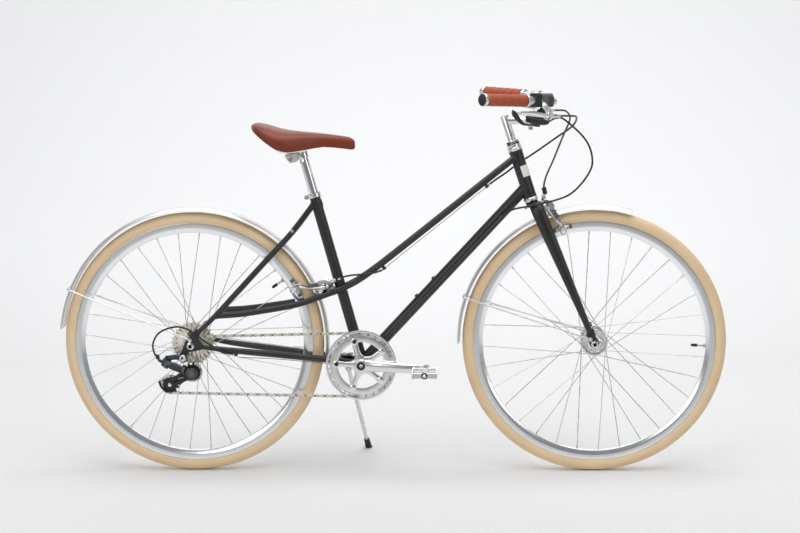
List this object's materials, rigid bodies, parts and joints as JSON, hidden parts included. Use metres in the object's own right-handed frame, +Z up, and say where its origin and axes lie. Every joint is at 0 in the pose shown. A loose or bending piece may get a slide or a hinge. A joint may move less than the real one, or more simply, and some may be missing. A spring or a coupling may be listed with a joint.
{
  "type": "city bike",
  "caption": "City bicycle with a low twin-tube frame, swept-back bars, mudguards, rim brakes, derailleur gears and a kickstand.",
  "frame": {"origin": "centre of the footprint, on the floor, with the bike leaned 4 degrees onto its kickstand", "axes": "+X forward, +Y to the rider's left, +Z up"},
  "size_m": [1.7633, 0.5803, 1.0252],
  "materials": {
    "black_paint": "satin",
    "black_plastic": "matt",
    "black_rubber": "matt",
    "brown_leather": "soft sheen",
    "cream_plastic": "matt",
    "dark_grey": "painted matt",
    "nickel": "satin",
    "polished": "polished",
    "silver": "satin",
    "steel": "satin",
    "tan_tyre": "matt"
  },
  "bodies": {
    "frame": {"frame": "black_paint", "headset_lower_cup": "polished", "headset_upper_cup": "polished", "seat_collar": "polished", "kickstand_bracket": "silver", "rear_axle": "steel", "rear_mudguard": "silver", "rear_mudguard_stay": "silver", "rear_brake_bolt": "steel", "chain": "nickel", "rear_brake_cable": "black_plastic", "gear_cable": "black_plastic", "gear_cable_loop": "black_plastic", "derailleur_knuckle": "dark_grey"},
    "steering": {"fork": "black_paint", "headset_locknut": "steel", "stem": "polished", "handlebar": "polished", "grip_left": "brown_leather", "grip_right": "brown_leather", "brake_bracket_left": "silver", "brake_bracket_right": "silver", "shifter_pod": "black_plastic", "front_axle": "steel", "front_mudguard": "silver", "front_mudguard_stay": "silver", "front_brake_bolt": "steel", "front_brake_cable": "black_plastic"},
    "front_wheel": {"front_tyre": "tan_tyre", "front_rim": "silver", "front_hub": "polished"},
    "rear_wheel": {"rear_tyre": "tan_tyre", "rear_rim": "silver", "rear_hub": "polished"},
    "cassette": {"cassette": "nickel"},
    "cranks": {"crank_spindle": "steel", "crank_right": "polished", "crank_left": "polished", "chainring": "silver", "guard_ring": "polished"},
    "pedal_right": {"pedal_right": "silver"},
    "pedal_left": {"pedal_left": "silver"},
    "seat": {"seat_post": "polished", "saddle_clamp": "cream_plastic", "saddle_rails": "steel", "saddle": "brown_leather"},
    "kickstand": {"kickstand_leg": "silver", "kickstand_foot": "black_rubber"},
    "brake_lever_right": {"brake_lever_right": "silver"},
    "brake_lever_left": {"brake_lever_left": "silver"},
    "front_brake_arm_right": {"front_brake_arm_right": "silver"},
    "front_brake_arm_left": {"front_brake_arm_left": "silver"},
    "rear_brake_arm_right": {"rear_brake_arm_right": "silver"},
    "rear_brake_arm_left": {"rear_brake_arm_left": "silver"},
    "shift_lever": {"shift_lever": "black_plastic"},
    "derailleur_link": {"derailleur_link": "dark_grey"},
    "derailleur_body": {"derailleur_body": "dark_grey"},
    "derailleur_cage": {"derailleur_cage": "black_paint"},
    "jockey_upper": {"jockey_upper": "black_plastic"},
    "jockey_lower": {"jockey_lower": "black_plastic"}
  },
  "joints": [
    {"name": "steering", "type": "hinge", "parent": "frame", "child": "steering", "pos_m": [0.36876, -0.01835, 0.72601], "axis": [-0.3007, 0.0665, 0.9514], "range_deg": [-60, 60], "deforming": ["rear_brake_cable", "gear_cable"]},
    {"name": "front_wheel_spin", "type": "hinge", "parent": "steering", "child": "front_wheel", "pos_m": [0.5356, -0.04496, 0.34545], "axis": [0, 0.9976, -0.0698], "continuous": true},
    {"name": "rear_wheel_spin", "type": "hinge", "parent": "frame", "child": "rear_wheel", "pos_m": [-0.5224, -0.04496, 0.34545], "axis": [0, 0.9976, -0.0698], "continuous": true},
    {"name": "crank_turn", "type": "hinge", "parent": "frame", "child": "cranks", "pos_m": [-0.0754, -0.0488, 0.29058], "axis": [0, 0.9976, -0.0698], "range_deg": [-40, 244], "deforming": ["chain"]},
    {"name": "cassette_spin", "type": "hinge", "parent": "frame", "child": "cassette", "pos_m": [-0.5224, -0.04496, 0.34545], "axis": [0, 0.9976, -0.0698], "range_deg": [-153, 932]},
    {"name": "pedal_right_spin", "type": "hinge", "parent": "cranks", "child": "pedal_right", "pos_m": [0.09442, -0.17802, 0.29189], "axis": [0, 0.9976, -0.0698], "continuous": true},
    {"name": "pedal_left_spin", "type": "hinge", "parent": "cranks", "child": "pedal_left", "pos_m": [-0.24522, 0.08042, 0.28928], "axis": [0, 0.9976, -0.0698], "continuous": true},
    {"name": "seat_height", "type": "slide", "parent": "frame", "child": "seat", "axis": [-0.2645, 0.0673, 0.962], "range_m": [-0.08, 0.1]},
    {"name": "kickstand_fold", "type": "hinge", "parent": "frame", "child": "kickstand", "pos_m": [-0.1154, -0.02526, 0.26889], "axis": [-0.2063, 0.9705, 0.1245], "range_deg": [0, 100]},
    {"name": "brake_lever_right_pull", "type": "hinge", "parent": "steering", "child": "brake_lever_right", "pos_m": [0.40874, -0.18718, 0.95859], "axis": [-0.5102, 0.5731, -0.6413], "range_deg": [0, 15], "stiffness_Nm_per_rad": 0.5},
    {"name": "brake_lever_left_pull", "type": "hinge", "parent": "steering", "child": "brake_lever_left", "pos_m": [0.40874, 0.1812, 0.93283], "axis": [0.5102, 0.6568, 0.5553], "range_deg": [0, 15], "stiffness_Nm_per_rad": 0.5},
    {"name": "front_brake_arm_right_turn", "type": "hinge", "parent": "steering", "child": "front_brake_arm_right", "pos_m": [0.37598, -0.01995, 0.70317], "axis": [0.9537, 0.021, 0.3], "range_deg": [0, 1.3], "deforming": ["front_brake_cable"]},
    {"name": "front_brake_arm_left_turn", "type": "hinge", "parent": "steering", "child": "front_brake_arm_left", "pos_m": [0.37598, -0.01995, 0.70317], "axis": [-0.9537, -0.021, -0.3], "range_deg": [0, 1.3]},
    {"name": "rear_brake_arm_right_turn", "type": "hinge", "parent": "frame", "child": "rear_brake_arm_right", "pos_m": [-0.15162, -0.03551, 0.48072], "axis": [0.4677, -0.0617, -0.8817], "range_deg": [0, 1.3]},
    {"name": "rear_brake_arm_left_turn", "type": "hinge", "parent": "frame", "child": "rear_brake_arm_left", "pos_m": [-0.15162, -0.03551, 0.48072], "axis": [-0.4677, 0.0617, 0.8817], "range_deg": [0, 1.3]},
    {"name": "shift_lever_push", "type": "hinge", "parent": "steering", "child": "shift_lever", "pos_m": [0.38309, -0.1433, 0.93071], "axis": [0.1495, -0.1818, 0.9719], "range_deg": [0, 22], "stiffness_Nm_per_rad": 0.1},
    {"name": "derailleur_link_swing", "type": "hinge", "parent": "frame", "child": "derailleur_link", "pos_m": [-0.5834, -0.1299, 0.30628], "axis": [0.3096, 0.6222, 0.719], "range_deg": [0, 45], "deforming": ["gear_cable_loop"]},
    {"name": "derailleur_body_level", "type": "hinge", "parent": "derailleur_link", "child": "derailleur_body", "pos_m": [-0.5404, -0.13112, 0.28882], "axis": [0.3096, 0.6222, 0.719], "range_deg": [-45, 0]},
    {"name": "derailleur_cage_swing", "type": "hinge", "parent": "derailleur_body", "child": "derailleur_cage", "pos_m": [-0.5204, -0.10834, 0.27771], "axis": [0, 0.9976, -0.0698], "range_deg": [-75, 0], "stiffness_Nm_per_rad": 0.4},
    {"name": "jockey_upper_spin", "type": "hinge", "parent": "derailleur_cage", "child": "jockey_upper", "pos_m": [-0.5204, -0.10834, 0.27771], "axis": [0, 0.9976, -0.0698], "continuous": true},
    {"name": "jockey_lower_spin", "type": "hinge", "parent": "derailleur_cage", "child": "jockey_lower", "pos_m": [-0.5811, -0.11063, 0.24497], "axis": [0, 0.9976, -0.0698], "continuous": true}
  ],
  "couplings": [
    {"joint": "cassette_spin", "follows": "crank_turn", "ratio": 3.8182},
    {"joint": "derailleur_body_level", "follows": "derailleur_link_swing", "ratio": -1},
    {"joint": "front_brake_arm_right_turn", "follows": "brake_lever_left_pull", "ratio": 0.0866},
    {"joint": "front_brake_arm_left_turn", "follows": "brake_lever_left_pull", "ratio": 0.0866},
    {"joint": "rear_brake_arm_right_turn", "follows": "brake_lever_right_pull", "ratio": 0.0866},
    {"joint": "rear_brake_arm_left_turn", "follows": "brake_lever_right_pull", "ratio": 0.0866}
  ]
}
